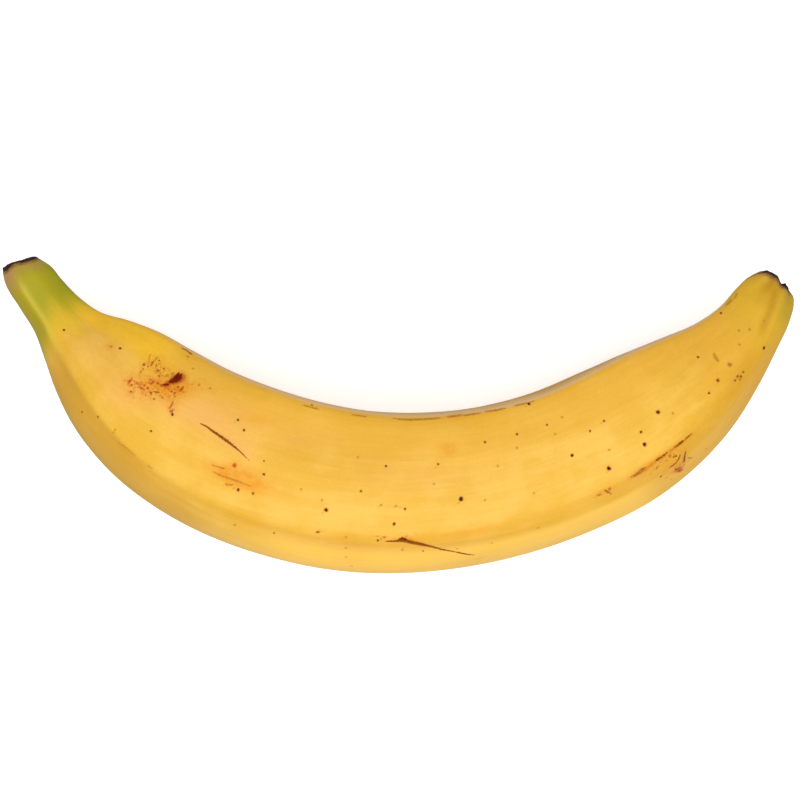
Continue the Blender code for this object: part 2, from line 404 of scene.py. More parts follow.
# Marks are lines of (column, row, half width in mm), or single points. Places are pixels of the
# 800 by 800 photograph, read one by one. Tone: 0 black brown, 1 maroon, 2 orange red, 3 brown, 4 olive.
# Gaps say how far a mark is broken up, from 0 to 1.
marks = {
    "scratches": {"strength": 0.96, "tone": 3.0, "gaps": 0.15, "lines": (
        ((200, 423.5, 0.12), (206, 426, 0.24), (212, 430.8, 0.34), (220, 436, 0.44), (227.5, 441.2, 0.42),
         (234, 446.3, 0.32), (241.5, 452.7, 0.19), (249, 460.5, 0.1)),
        ((384, 541.3, 0.15), (394, 541.4, 0.3), (400, 540.6, 0.5), (404, 540.2, 0.68), (411, 542.3, 0.62),
         (420, 544, 0.62), (427, 545.5, 0.52), (434, 547.2, 0.4), (441, 549.2, 0.42), (448, 550.6, 0.36),
         (454, 551.6, 0.34), (462, 553.3, 0.42), (468, 554.4, 0.42), (475.5, 555, 0.16)),
    )},
    "bruiseEdge": {"strength": 0.6, "tone": 2.2, "lines": (
        ((170, 382, 0.9), (175, 380, 1.7), (181, 377, 1.6)), ((161, 385, 0.5), (167, 384.8, 0.9)),
        ((677.5, 469.5, 1.25), (681, 470.5, 0.9)),
    )},
    "bruise": {"strength": 0.95, "tone": 0.8, "lines": (
        ((170, 381.8, 0.5), (173, 380.6, 1.0), (176.5, 378.8, 1.3), (180, 377, 0.95), (181.6, 374.4, 0.3)),
        ((176.5, 377, 0.7), (178.8, 373, 0.35)),
        ((161.5, 384.8, 0.14), (164.5, 384.8, 0.35), (166.5, 384.7, 0.5), (168.3, 384.5, 0.3)),
        ((398.5, 539.2, 0.2), (402.5, 538, 0.42), (405.5, 539.5, 0.4)),
        ((675.6, 469, 0.42),), ((679.4, 470.8, 0.42),),
    )},
    "scuffs": {"strength": 0.95, "tone": 2.95, "gaps": 0.6, "lines": (
        ((656.5, 460.3, 0.3), (658.5, 458.8, 0.45), (661, 457.5, 0.25), (664.5, 455, 0.35),
         (668, 451.5, 0.15)),
        ((675, 447, 0.3), (679, 444.4, 0.35), (681.5, 442, 0.4), (684, 440, 0.2)),
        ((685.5, 439, 0.2), (687.3, 437.2, 0.35), (690, 434.5, 0.15), (692.5, 432.5, 0.1)),
        ((683.8, 462, 0.5), (684.6, 457.5, 0.42), (685.2, 453, 0.28), (685.6, 451, 0.15)),
        ((669.5, 468, 0.3), (672, 466, 0.35), (676, 462.8, 0.3), (679, 458.8, 0.3), (680.6, 453.5, 0.12)),
        ((673.5, 457, 0.25), (676.5, 456, 0.3)),
        ((181, 347.6, 0.18), (186, 350, 0.28), (191.5, 354, 0.3)),
        ((317, 532, 0.35), (319.5, 532, 0.3)),
    )},
    "softScuffs": {"strength": 0.66, "tone": 3.0, "gaps": 0.85, "lines": (
        ((631, 477, 0.3), (636, 474.5, 0.45), (639.5, 472, 0.6), (643.5, 468.5, 0.4), (647, 466.5, 0.2)),
        ((656, 469, 0.3), (658.2, 466, 0.3)), ((688, 457.6, 0.25), (692.5, 458, 0.3)),
        ((604.5, 490, 0.3), (607.5, 491.4, 0.42), (611, 494, 0.3)),
        ((597, 495.5, 0.3), (601, 494.5, 0.35)), ((729.6, 364.6, 0.65),),
        ((138.5, 387.3, 0.3), (142.5, 388.6, 0.35)), ((151.2, 365.2, 0.3), (152.5, 362.2, 0.35)),
    )},
    "brushed": {"strength": 0.5, "tone": 2.5, "gaps": 0.6, "lines": (
        ((213, 471.5, 0.2), (220, 475, 0.26), (229, 478.2, 0.3), (240, 482, 0.26), (251, 486.5, 0.16)),
        ((211, 464.5, 0.18), (225, 469, 0.24)), ((226, 485, 0.3), (233, 485, 0.34)),
        ((448, 416.6, 0.4), (456, 415.6, 0.55), (462, 414.6, 0.4)),
    )},
    "ridgeRubs": {"strength": 0.3, "tone": 3.0, "gaps": 0.75, "lines": (
        ((632, 477.8, 0.3), (641, 472.5, 0.5), (651, 465.5, 0.4), (660, 457.3, 0.5), (669, 452.2, 0.36),
         (681, 443.2, 0.5), (693, 433.6, 0.25)),
        ((118, 442, 0.3), (124, 446.5, 0.5), (130, 451, 0.4), (135, 455.5, 0.25)),
        ((148, 466, 0.4), (152, 468.5, 0.4)),
    )},
    "ridgeStreaks": {"strength": 0.7, "tone": 3.7, "gaps": 0.7, "lines": (
        ((392, 418.4, 0.2), (402, 419.2, 0.34), (411, 419.6, 0.38), (424, 419, 0.3), (436, 418.2, 0.34),
         (441, 417.6, 0.2)),
        ((464, 415.2, 0.3), (474, 413.8, 0.36), (481, 412.6, 0.2)),
        ((485, 411.4, 0.26), (496, 410, 0.38), (505, 408, 0.22)),
        ((515, 405.6, 0.3), (526, 403.2, 0.34), (534, 400.8, 0.2)), ((352, 414.6, 0.26), (366, 416.4, 0.3)),
        ((303, 404.8, 0.24), (318, 409, 0.3)),
    )},
    "redDots": {"strength": 0.8, "tone": 2.05, "lines": (
        ((129.7, 380.8, 0.45),), ((144.5, 385.3, 0.36),), ((147.6, 388, 0.45),), ((150.9, 383.8, 0.34),),
        ((182.1, 388.6, 0.45),), ((178.2, 386.8, 0.36),), ((234.6, 465.4, 0.6),), ((143, 369, 0.3),),
        ((147.9, 366.5, 0.26),), ((159.4, 375.9, 0.3),), ((154.2, 398.9, 0.3),),
        ((170, 408, 0.2), (172, 404, 0.25)),
    )},
    "brownDots": {"strength": 0.78, "tone": 2.75, "lines": (
        ((143.9, 364.4, 0.42),), ((131.5, 385, 0.3),), ((130.9, 391.7, 0.36),), ((150.9, 392.6, 0.45),),
        ((157.6, 383.2, 0.34),), ((174.5, 392.9, 0.34),), ((171.5, 391.5, 0.3),), ((163.6, 368.6, 0.3),),
        ((159.4, 360.5, 0.26),), ((156, 372.5, 0.15), (160, 370.5, 0.2)),
        ((153.5, 391.5, 0.18), (159, 392.3, 0.18)),
        ((609, 468.5, 0.66),), ((718, 380, 0.55),),
    )},
    "tipDots": {"strength": 0.8, "tone": 3.15, "lines": (
        ((735, 380.5, 0.4),), ((737.6, 376, 0.34),), ((741, 376.5, 0.44),), ((743.2, 372, 0.36),),
        ((740, 379.6, 0.3),), ((717.7, 380.8, 0.36),),
    )},
    "bigSpecks": {"strength": 0.96, "tone": 0.0, "lines": (
        ((461, 499, 0.66),), ((326, 510, 0.6),), ((644.5, 444.5, 0.6),), ((658, 412, 0.6),),
        ((609, 468.5, 0.5),), ((764, 348, 0.52),), ((394, 524, 0.48),), ((238, 490, 0.5),),
        ((572, 455.5, 0.48),), ((529, 404, 0.45),), ((120, 348.3, 0.42),), ((172.4, 414.4, 0.45),),
    )},
    "rimLines": {"strength": 0.8, "tone": 0.6, "lines": (
        ((735, 290.5, 0.1), (741, 283.5, 0.14), (746, 279.3, 0.2), (753, 275.6, 0.26), (760, 273.4, 0.34),
         (765, 272.3, 0.4)),
    )},
    "specks": {"strength": 0.82, "tone": 0.0, "lines": (
        ((386, 466, 0.38),), ((361, 491, 0.38),), ((438, 464, 0.38),), ((485, 442, 0.38),),
        ((517, 434, 0.38),), ((547, 425, 0.36),), ((590, 431, 0.36),), ((604, 421, 0.36),),
        ((641, 432, 0.42),), ((698, 357, 0.4),), ((709, 393, 0.38),), ((721, 313, 0.4),),
        ((244, 430, 0.42),), ((238, 420, 0.4),), ((264, 474.5, 0.4),), ((253, 493.5, 0.42),),
        ((64, 330, 0.38),), ((98, 417, 0.38),), ((82, 412, 0.34),), ((234.5, 525, 0.36),),
        ((274, 533, 0.36),), ((378, 540.5, 0.38),), ((405, 509, 0.36),), ((423, 551, 0.3),),
        ((661, 476.5, 0.42),), ((312, 405, 0.34),), ((151, 431, 0.38),), ((264, 461, 0.26),),
    )},
    "faintDots": {"strength": 0.5, "tone": 4.0, "lines": (
        ((111, 346.4, 0.4),), ((301, 489, 0.4),), ((322, 500, 0.4),), ((358, 457, 0.36),), ((381, 505, 0.4),),
        ((396, 506, 0.36),), ((485, 500, 0.4),), ((498, 466, 0.36),), ((517, 448, 0.4),), ((534, 493, 0.36),),
        ((538, 528, 0.4),), ((492, 543, 0.4),), ((457, 549, 0.36),), ((555, 434, 0.36),), ((562, 417, 0.4),),
        ((609, 450, 0.4),), ((673, 413, 0.36),), ((346, 537, 0.4),), ((346, 548, 0.36),), ((346, 557, 0.4),),
        ((352, 566, 0.4),), ((115, 429.7, 0.34),), ((113.4, 432.4, 0.3),), ((739.5, 344.5, 0.42),),
        ((739, 330.6, 0.4),), ((749.7, 329.3, 0.42),), ((764, 320.8, 0.3),), ((193, 368.6, 0.36),),
        ((198.8, 384.7, 0.42),), ((210, 388, 0.42),), ((706, 449, 0.4),), ((434, 484, 0.36),),
        ((226.3, 484, 0.4),),
        ((714.3, 354, 0.4), (715.6, 357.5, 0.6), (718, 360.5, 0.35)), ((666.4, 477.4, 0.4),),
        ((671.5, 479, 0.4),), ((402.4, 549.7, 0.5),),
        ((154, 361, 0.2), (158, 357, 0.2)), ((149, 359, 0.2), (150.5, 354, 0.2)), ((167.3, 375.3, 0.6),),
        ((172.5, 373.6, 0.6),), ((187.9, 356.5, 0.4),), ((174.8, 396.4, 0.36),), ((173.6, 409.8, 0.3),),
        ((727, 304.5, 0.4), (731, 300.5, 0.45)), ((734.5, 298, 0.3), (737, 294, 0.3)), ((458, 548.5, 0.25),),
    )},
}
# Specks and scratches on the sides that the photograph doesn't show, in mm and degrees
hiddenMarks = {
    "count": 110, "from": 30.0, "to": 262.0, "facing": -0.05,
    "widths": (0.28, 0.34, 0.4, 0.5, 0.62), "widthOdds": (0.25, 0.3, 0.25, 0.13, 0.07),
    "tones": (0.0, 0.0, 3.0, 4.0), "strength": (0.45, 0.95),
    "scratchShare": 0.14, "scratchTurn": 35, "scratchHalfLength": (1.5, 5.0),
    "scratchHalfWidth": (0.08, 0.35), "scratchGaps": 0.5,
}
hiddenStains = {
    # how many, shortest and longest half length in mm, strength
    "orange": (10, 2.0, 8.0, 0.6), "peach": (9, 6.0, 16.0, 0.7), "stipple": (8, 1.8, 5.0, 0.8),
    "facing": -0.1, "slimness": (0.25, 0.55), "fading": (0.5, 1.0),
}

markLayout = {
    "layers": 7,  # marks that lie close together take one each
    "halo": 1.8,  # reach of the soft edge, in half widths
    "seen": 0.15, "kept": 1.1,  # mm beyond it that are coloured, and that no other mark may use
    "search": 2.1,  # mm beyond it that are looked through
    "depth": 4.0, "stainDepth": 8.0,  # mm, so that nothing shows through to the other side
    "step": 0.2,  # mm along a line
    "ragged": 0.75, "raggedLimit": 1.8,  # how far an edge wanders in mm, and at most in half widths
    "facing": 0.02, "steepest": 0.3,  # upward share of a normal
    "far": 9.0,  # stands for no mark nearby, in half widths
}

# Soft stains: column, row, half length and half width in mm, angle in degrees, strength
stains = {
    "orange": (
        (148, 384, 6.5, 4.5, -10, 0.8), (173, 389, 4.5, 3.0, 10, 0.9), (172, 407, 1.6, 3.0, 0, 0.4),
        (152, 364, 3.0, 1.8, 20, 0.4), (226, 472, 8.0, 1.8, -22, 0.75), (248, 480, 8.5, 3.0, -20, 1.0),
        (235, 465, 1.4, 1.4, 0, 0.6), (448, 449, 2.6, 2.2, 0, 0.75), (440, 536, 12.0, 0.9, 5, 0.45),
        (482, 529, 9.0, 0.9, 12, 0.45), (413, 539, 4.0, 0.9, -6, 0.6), (677, 467, 3.4, 2.6, 30, 0.6),
        (643, 469, 6.0, 1.1, 33, 0.7), (661, 456.5, 7.0, 0.8, 36, 0.55),
        (678, 446, 3.2, 0.9, 38, 0.6), (609, 468.5, 1.4, 1.3, 0, 0.5),
        (344, 537, 5.0, 1.2, 0, 0.4), (256, 419, 5.0, 1.6, -10, 0.45), (480, 558, 1.6, 0.8, 10, 0.4),
        (672, 466, 6.0, 2.4, 40, 0.5), (110, 346.4, 1.5, 1.1, 0, 0.7), (457, 417, 3.0, 0.9, 5, 0.5),
        (494, 411, 3.0, 0.8, 10, 0.4), (604, 492, 3.0, 1.0, 20, 0.35), (185, 392, 5.0, 3.0, 30, 0.35),
        (236, 484, 5.0, 1.4, -25, 0.7),
    ),
    "peach": (
        (222, 418, 11.0, 6.5, -25, 0.7), (118, 392, 6.0, 5.0, -50, 0.5), (425, 478, 22.0, 5.0, 0, 0.35),
        (145, 395, 8.0, 5.0, -20, 0.6), (192, 412, 8.0, 5.0, -30, 0.6), (330, 545, 22.0, 2.4, -6, 0.5),
        (240, 448, 5.0, 3.0, -30, 0.7), (100, 350, 8.0, 6.0, -50, 0.4), (450, 545, 20.0, 2.4, 6, 0.5),
        (300, 440, 12.0, 4.0, -12, 0.3), (640, 480, 10.0, 1.6, 28, 0.5),
    ),
    "stipple": (
        (147, 386, 5.0, 3.2, -10, 1.0), (154, 364, 3.2, 2.6, 40, 0.75), (174, 388, 4.0, 2.8, 10, 0.9),
        (131, 384, 1.6, 3.0, 0, 0.5), (172, 407, 1.2, 2.6, 0, 0.5), (162, 372, 3.0, 1.6, 30, 0.5),
        (680, 467, 2.8, 2.0, 20, 1.0), (684, 456, 1.4, 2.6, 0, 0.55), (641, 472, 4.5, 0.9, 33, 0.5),
        (606, 491, 2.0, 0.9, 20, 0.6), (678, 446, 3.0, 0.8, 38, 0.5),
        (740, 378, 1.6, 1.2, 40, 0.25), (188, 356, 2.0, 1.2, -30, 0.35),
        (226, 472, 3.0, 1.6, -20, 0.3), (205, 386, 5.0, 1.6, -20, 0.25), (663, 460, 5.0, 1.3, 35, 0.5),
        (404, 539, 3.4, 1.4, 5, 0.8), (381, 538, 2.4, 1.0, 0, 0.4), (319, 532, 1.6, 0.8, 0, 0.5),
    ),
}


def onPeel(skin, normals, column, row, places):
    # the point of the peel seen at a pixel: the nearest facing vertex, moved within its tangent plane
    found, ways = [], []
    for x, y in places:
        miss = np.where(normals[..., 2] > markLayout["facing"], np.hypot(column - x, row - y), np.inf)
        where = np.unravel_index(miss.argmin(), miss.shape)
        normal = normals[where]
        step = np.array([x - column[where], row[where] - y, 0.0]) * view["pixelSize"]
        step[2] = -step.dot(normal) / max(normal[2], markLayout["steepest"])
        found.append(skin["points"][where] + step)
        ways.append(normal)
    return np.array(found), np.array(ways)


def photoMarks(skin, normals):
    # each drawn line is cut into short steps that are laid on the peel one by one
    column, row = photoPixel(skin["points"])
    laid = []
    for kind in marks.values():
        look = {"strength": kind["strength"], "tone": kind["tone"], "gaps": kind.get("gaps", 0.0)}
        for line in kind["lines"]:
            line = np.array(line, dtype=float)
            run = np.concatenate([[0], np.cumsum(np.hypot(*np.diff(line[:, :2], axis=0).T))])
            count = max(int(run[-1] * view["pixelSize"] / markLayout["step"]), 1)
            at = np.linspace(0, run[-1], count + (run[-1] > 0))
            steps = np.stack([np.interp(at, run, line[:, i]) for i in range(3)], axis=1)
            centres, ways = onPeel(skin, normals, column, row, steps[:, :2])
            laid.append({"centres": centres, "ways": ways, "widths": steps[:, 2], **look})
    return laid


def unseenPlaces(skin, normals, facing, draw, count):
    # rings and points drawn from the peel that faces down
    far = (skin["places"] > hiddenMarks["from"]) & (skin["places"] < hiddenMarks["to"])
    hidden = np.argwhere((normals[..., 2] < facing) & far)
    return hidden[draw.choice(len(hidden), count, replace=False)]


def unseenMarks(skin, normals):
    # seeded specks, and short scratches that lie roughly lengthwise, widest in their middle
    draw = np.random.default_rng(seeds["hidden"])
    thin, thick = hiddenMarks["scratchHalfWidth"]
    laid = []
    for ring, point in unseenPlaces(skin, normals, hiddenMarks["facing"], draw, hiddenMarks["count"]):
        centre, normal = skin["points"][ring, point], normals[ring, point]
        lengthwise = skin["points"][ring + 1, point] - skin["points"][ring - 1, point]
        lengthwise = lengthwise / np.linalg.norm(lengthwise)
        turn = math.radians(draw.uniform(-hiddenMarks["scratchTurn"], hiddenMarks["scratchTurn"]))
        way = lengthwise * math.cos(turn) + np.cross(normal, lengthwise) * math.sin(turn)
        isScratch = draw.random() < hiddenMarks["scratchShare"]
        half = draw.uniform(*hiddenMarks["scratchHalfLength"]) if isScratch else 0.0
        width = draw.choice(hiddenMarks["widths"], p=hiddenMarks["widthOdds"])
        at = np.linspace(-half, half, max(int(2 * half / markLayout["step"]), 1))
        widths = np.maximum(thick * (1 - (at / half) ** 2), thin) if isScratch else np.array([width])
        laid.append({
            "centres": centre + at[:, None] * way, "ways": np.repeat(normal[None], len(at), axis=0),
            "widths": widths, "tone": draw.choice(hiddenMarks["tones"]),
            "strength": draw.uniform(*hiddenMarks["strength"]),
            "gaps": hiddenMarks["scratchGaps"] if isScratch else 0.0,
        })
    return laid


def besideMark(points, mark):
    # for each point, mm beyond, across and off the nearest step of a mark, and the half width there
    centres, ways = mark["centres"], mark["ways"]
    forward = np.gradient(centres, axis=0) if len(centres) > 1 else np.array([[1.0, 0.0, 0.0]])
    forward = forward - ways * (forward * ways).sum(axis=1, keepdims=True)
    forward = forward / np.linalg.norm(forward, axis=1, keepdims=True)
    offset = points[:, None] - centres[None]
    closest = (offset ** 2).sum(axis=2).argmin(axis=1)
    offset = offset[np.arange(len(points)), closest]
    beyond = (offset * forward[closest]).sum(axis=1)
    across = (offset * np.cross(ways, forward)[closest]).sum(axis=1)
    off = (offset * ways[closest]).sum(axis=1)
    return beyond, across, off, mark["widths"][closest]


def markLayers(skin, normals):
    # every vertex near a mark keeps its place beyond and across the mark and how ragged the edge is there,
    # all in half widths, with the mark's strength, tone and gaps
    shape = skin["points"].shape
    points = skin["points"].reshape(-1, 3)
    far = (markLayout["far"], markLayout["far"], 0.0)
    layers = [{"place": np.tile(far, (len(points), 1)), "tint": np.zeros((len(points), 3)),
               "taken": np.zeros(len(points), bool)} for _ in range(markLayout["layers"])]
    dropped = 0
    for mark in photoMarks(skin, normals) + unseenMarks(skin, normals):
        middle = mark["centres"].mean(axis=0)
        halfLength = np.linalg.norm(mark["centres"] - middle, axis=1).max()
        reach = halfLength + mark["widths"].max() * markLayout["halo"] + markLayout["search"]
        near = np.flatnonzero(np.linalg.norm(points - middle, axis=1) < reach)
        beyond, across, off, width = besideMark(points[near], mark)
        gap = np.hypot(beyond, across) - width * markLayout["halo"]
        kept = (gap < markLayout["kept"]) & (np.abs(off) < markLayout["depth"])
        free = [layer for layer in layers if not layer["taken"][near[kept]].any()]
        if not free:
            dropped += 1
            continue
        ragged = np.minimum(markLayout["ragged"] / width, markLayout["raggedLimit"])
        strength = mark["strength"] * (gap < markLayout["seen"])
        place = np.stack([beyond / width, across / width, ragged], axis=1)
        tint = np.stack([strength, 0 * width + mark["tone"], 0 * width + mark["gaps"]], axis=1)
        free[0]["taken"][near[kept]] = True
        free[0]["place"][near[kept]] = place[kept]
        free[0]["tint"][near[kept]] = tint[kept]
    print("marks laid on the peel, left out for want of room:", dropped)
    return [(layer["place"].reshape(shape), layer["tint"].reshape(shape)) for layer in layers]


def stainMask(skin, normals, rows):
    # soft ellipses added up, each fading as a bell curve from its middle
    column, row = photoPixel(skin["points"])
    total = np.zeros_like(skin["around"])
    centres, ways = onPeel(skin, normals, column, row, [line[:2] for line in rows])
    for centre, normal, line in zip(centres, ways, rows):
        halfLength, halfWidth, angle, strength = line[2:]
        way = np.array([math.cos(math.radians(angle)), math.sin(math.radians(angle)), 0])
        way = way - normal * way.dot(normal)
        way = way / np.linalg.norm(way)
        offset = skin["points"] - centre
        share = bell(offset @ way, halfLength) * bell(offset @ np.cross(normal, way), halfWidth)
        total += strength * share * bell(offset @ normal, markLayout["stainDepth"])
    return total


def unseenStains(skin, normals, name):
    # the same soft ellipses at seeded places of the hidden sides, drawn out along the fruit
    draw = np.random.default_rng([seeds["hidden"], len(name)])
    count, shortest, longest, strength = hiddenStains[name]
    total = np.zeros_like(skin["around"])
    for ring, point in unseenPlaces(skin, normals, hiddenStains["facing"], draw, count):
        along = skin["along"] - skin["along"][ring, point]
        across = arcLength(skin, skin["around"] - skin["around"][ring, point])
        halfLength = draw.uniform(shortest, longest)
        halfWidth = halfLength * draw.uniform(*hiddenStains["slimness"])
        share = strength * draw.uniform(*hiddenStains["fading"])
        total += share * bell(along, halfLength) * bell(across, halfWidth)
    return total


# Where each colour lies: its strength, then for each of its limits what the limit is measured by, where
# the colour is none, where it is full, and how far that line wanders. fromCut and toScar are mm along
# the fruit, turn is degrees from the back, side is the same without its sign, below is the same on the
# lower side, and the rest are mm from a ridge or from the dip beside one.
zones = {
    # painted shade: darker amber along the hollow side
    "hollowAmber": (0.7, ("side", 100, 130, 5), ("fromCut", 40, 70)),
    "tipAmber": (0.85, ("toScar", 54, 24, -3)),
    # painted shade: darker amber on the lower face towards the tip
    "lowerAmber": (0.66, ("ridge", 2, -2), ("fromCut", 203, 217)),
    "deepAmber": (0.8, ("toScar", 13, 3), ("side", 50, 70), ("side", 125, 85)),
    "clear": (0.9, ("ridge", -0.5, -4.5), ("fromCut", 88, 118), ("toScar", 30, 60)),
    "tip": (1.0, ("toScar", 30, 10, -2)),
    # painted shade: the lower face darker from the neck towards the middle, and a darker band along the dip
    # beside the ridge, stronger again towards the tip
    "dullSide": (0.72, ("ridge", 1.5, -1.7), ("fromCut", 26, 36), ("fromCut", 104, 64, -4)),
    "creaseShade": (0.4, ("fromCut", 26, 38), ("toScar", 14, 26)),
    "creaseShadeTip": (0.25, ("fromCut", 180, 220), ("toScar", 14, 26)),
    "neck": (0.75, ("fromCut", 31, 22, -2)),
    "lemon": (0.6, ("side", 106, 130), ("fromCut", 68, 44, -2), ("fromCut", 20, 29)),
    "deepGreen": (0.8, ("side", 112, 137), ("fromCut", 24, 15, -2)),
    "oliveNeck": (0.85, ("side", 50, 32), ("fromCut", 33, 19)),
    "oliveTip": (0.5, ("side", 62, 38), ("toScar", 14, 6)),
    "oliveBack": (0.35, ("fromCut", 120, 40)),
    "tanBack": (0.75, ("fromCut", 11, 4, -1), ("side", 70, 30)),
    "tanCut": (0.4, ("fromCut", 6.5, 2.5, -1)),
    "tanScar": (0.45, ("toScar", 3.4, 1.4, -0.6)),
    # painted highlight: a lighter, paler line along the ridge on the neck
    "crest": (0.6, ("fromCut", 4, 9), ("fromCut", 36, 24)),
    # painted shade: a darker brown in the groove beside the ridge at the tip, over the groove cut into the
    # shape
    "groove": (0.6, ("fromCut", 259, 266), ("fromCut", 276, 271)),
    # painted shade: darker and greyish along the outline at the back, towards the underside
    "edge": (0.25, ("turn", 24, 4), ("fromCut", 60, 100), ("fromCut", 205, 180)),
    # partly the peel's own pale shoulder beside the ridges of the hollow side and partly a painted pale
    # reflection, strongest beside the upper one
    "ventral": (0.85, ("fromCut", 36, 70), ("toScar", 8, 22)),
    "upperStrip": (1.0, ("upperSeam", -0.54, 0.36), ("upperSeam", 9, 0.5, -1)),
    "lowerStrip": (0.5, ("lowerSeam", -0.54, 0.36), ("lowerSeam", 9, 0.5, -1)),
    # for these the strength is how many mm a line moves there
    "greenHollow": (2.0, ("side", 100, 120)), "greenBack": (3.0, ("side", 55, 40)),
    "cutRimBack": (1.1, ("side", 70, 10)), "scarRimHollow": (0.45, ("side", 50, 90)),
}
# Some also follow a line, and fade across it as a bell curve: measured by, middle, width
zoneLines = {
    "creaseShade": ("crease", 0.0, 2.8), "creaseShadeTip": ("crease", 0.0, 2.8), "oliveBack": ("side", 0.0, 9.0),
    "crest": ("ridge", 0.2, 0.9), "groove": ("ridge", relief["grooveOffset"], 1.5),
    "edge": ("below", -4.0, 20.0),
}
zoneEdges = {
    "wanderWaves": (30, 60, 9), "mottleWaves": (22, 14, 12), "amberMottle": 0.1, "shadeMottle": 0.08,
    # where green ends from the cut, how far before that it is full, and how far its end wanders, in mm
    "green": 24.0, "greenRun": 10.0, "greenWander": 1.2,
    "cutRim": 0.65, "scarRim": 0.7, "rimWander": 0.3,  # how far the dry rims reach and wander, in mm
    "rust": (-1.3, -0.3), "dry": (-0.3, 0.3),  # none and full, in mm inside a rim
}


def colourMasks(skin, normals):
    # every mask is 0 to 1 over the peel and says how far one colour takes over: its strength times its
    # fades, and for the amber that is partly painted shade, the dull colour that is painted shade, olive and
    # tan the largest or the sum of several such zones
    turn, edges = skin["around"], zoneEdges
    wander = ripple(skin["along"], turn, edges["wanderWaves"], seeds["wander"])
    mottle = ripple(skin["along"], skin["back"] + skin["up"], edges["mottleWaves"], seeds["mottle"])
    measures = {
        "fromCut": skin["places"], "toScar": skin["toScar"], "turn": turn, "side": np.abs(turn),
        "below": np.minimum(turn, 0), "ridge": backRidgeDistance(skin), "crease": creaseDistance(skin),
        "upperSeam": ridgeDistance(skin, "upperHollow"), "lowerSeam": -ridgeDistance(skin, "lowerHollow"),
    }

    def zone(name):
        share, *limits = zones[name]
        for measure, none, full, *sway in limits:
            share = share * fade(measures[measure] + sum(sway) * wander, none, full)
        if name in zoneLines:
            measure, middle, width = zoneLines[name]
            share = share * bell(measures[measure] - middle, width)
        return share

    single = ("deepAmber", "clear", "tip", "neck", "lemon", "deepGreen", "crest", "groove", "edge")
    masks = {name: zone(name) for name in single}
    # the amber colour is painted shade along the hollow side and on the lower face towards the tip, together
    # with the amber near the tip
    amberAndShade = np.maximum.reduce([zone("hollowAmber"), zone("tipAmber"), zone("lowerAmber")])
    masks["amberAndShade"] = np.clip(amberAndShade + edges["amberMottle"] * mottle, 0, 1)
    # the dull colour is painted shade: along the dip beside the ridge and on the lower face towards the neck
    band, side = zone("creaseShade") + zone("creaseShadeTip"), zone("dullSide")
    masks["creaseAndLowerShade"] = np.clip(np.maximum(band, side) + edges["shadeMottle"] * mottle * (band + side), 0, 1)
    masks["olive"] = np.clip(zone("oliveNeck") + zone("oliveTip") + zone("oliveBack"), 0, 1)
    masks["tan"] = np.clip(zone("tanBack") + zone("tanCut") + zone("tanScar"), 0, 1)
    # pale strips beside the hollow ridges: the peel's own pale shoulder together with a painted reflection
    masks["ventral"] = zone("ventral") * np.maximum(zone("upperStrip"), zone("lowerStrip"))
    greenEnd = edges["green"] + zone("greenHollow") + zone("greenBack") + edges["greenWander"] * wander
    masks["green"] = fade(skin["places"] - greenEnd, 0, -edges["greenRun"])
    # dry black rims with a rusty edge
    cutRim = edges["cutRim"] + zone("cutRimBack") + edges["rimWander"] * wander - skin["places"]
    scarRim = edges["scarRim"] + zone("scarRimHollow") + edges["rimWander"] * wander - skin["toScar"]
    masks["rust"] = fade(np.maximum(cutRim, scarRim), *edges["rust"])
    masks["dry"] = fade(np.maximum(cutRim, scarRim), *edges["dry"])
    for name, rows in stains.items():
        masks[name] = np.clip(stainMask(skin, normals, rows) + unseenStains(skin, normals, name), 0, 1)
    return masks


def pointArrays(skin, cut, scar, masks, layers):
    # skin values in ring order, with those of the first and last rings carried over both end faces
    def spread(grid):
        wider = [(len(cut), len(scar))] + [(0, 0)] * (grid.ndim - 1)
        flat = np.pad(grid, wider, mode="edge").reshape(-1, *grid.shape[2:])
        return np.concatenate([flat, flat[:1], flat[-1:]])

    values = {name: spread(grid) for name, grid in masks.items()}
    for number, (place, tint) in enumerate(layers):
        values["mark%d" % number] = spread(place)
        values["markTint%d" % number] = spread(tint)
    values["straight"] = spread(np.stack([skin["along"], skin["back"], skin["up"]], axis=2))
    return values


def makePeel():
    skin = skinSurface()
    normals = surfaceNormals(skin["points"])
    skin["points"] = skin["points"] + normals * skinRelief(skin)[:, :, None]
    normals = surfaceNormals(skin["points"])
    cut, cutPole = cutFace(skin)
    scar, scarPole = scarFace(skin)
    print("peel surface worked out")
    layers = markLayers(skin, normals)
    values = pointArrays(skin, cut, scar, colourMasks(skin, normals), layers)
    rings = np.concatenate([cut[::-1], skin["points"], scar])
    points = np.concatenate([rings.reshape(-1, 3), [cutPole], [scarPole]])
    points[:, 2] = np.maximum(points[:, 2], 0)  # nothing reaches below the table
    values["endPlace"] = points
    mesh = bpy.data.meshes.new("plantainPeel")
    mesh.from_pydata((points * mm).tolist(), [], gridFaces(len(rings), fruit["pointsAround"]))
    for name, value in values.items():
        kind, field = ("FLOAT_VECTOR", "vector") if value.ndim == 2 else ("FLOAT", "value")
        attribute = mesh.attributes.new(name, kind, "POINT")
        attribute.data.foreach_set(field, value.astype(np.float32).ravel())
    mesh.shade_smooth()
    peel = bpy.data.objects.new("plantainPeel", mesh)
    bpy.context.scene.collection.objects.link(peel)
    print("peel mesh made:", len(mesh.polygons), "faces")
    return peel


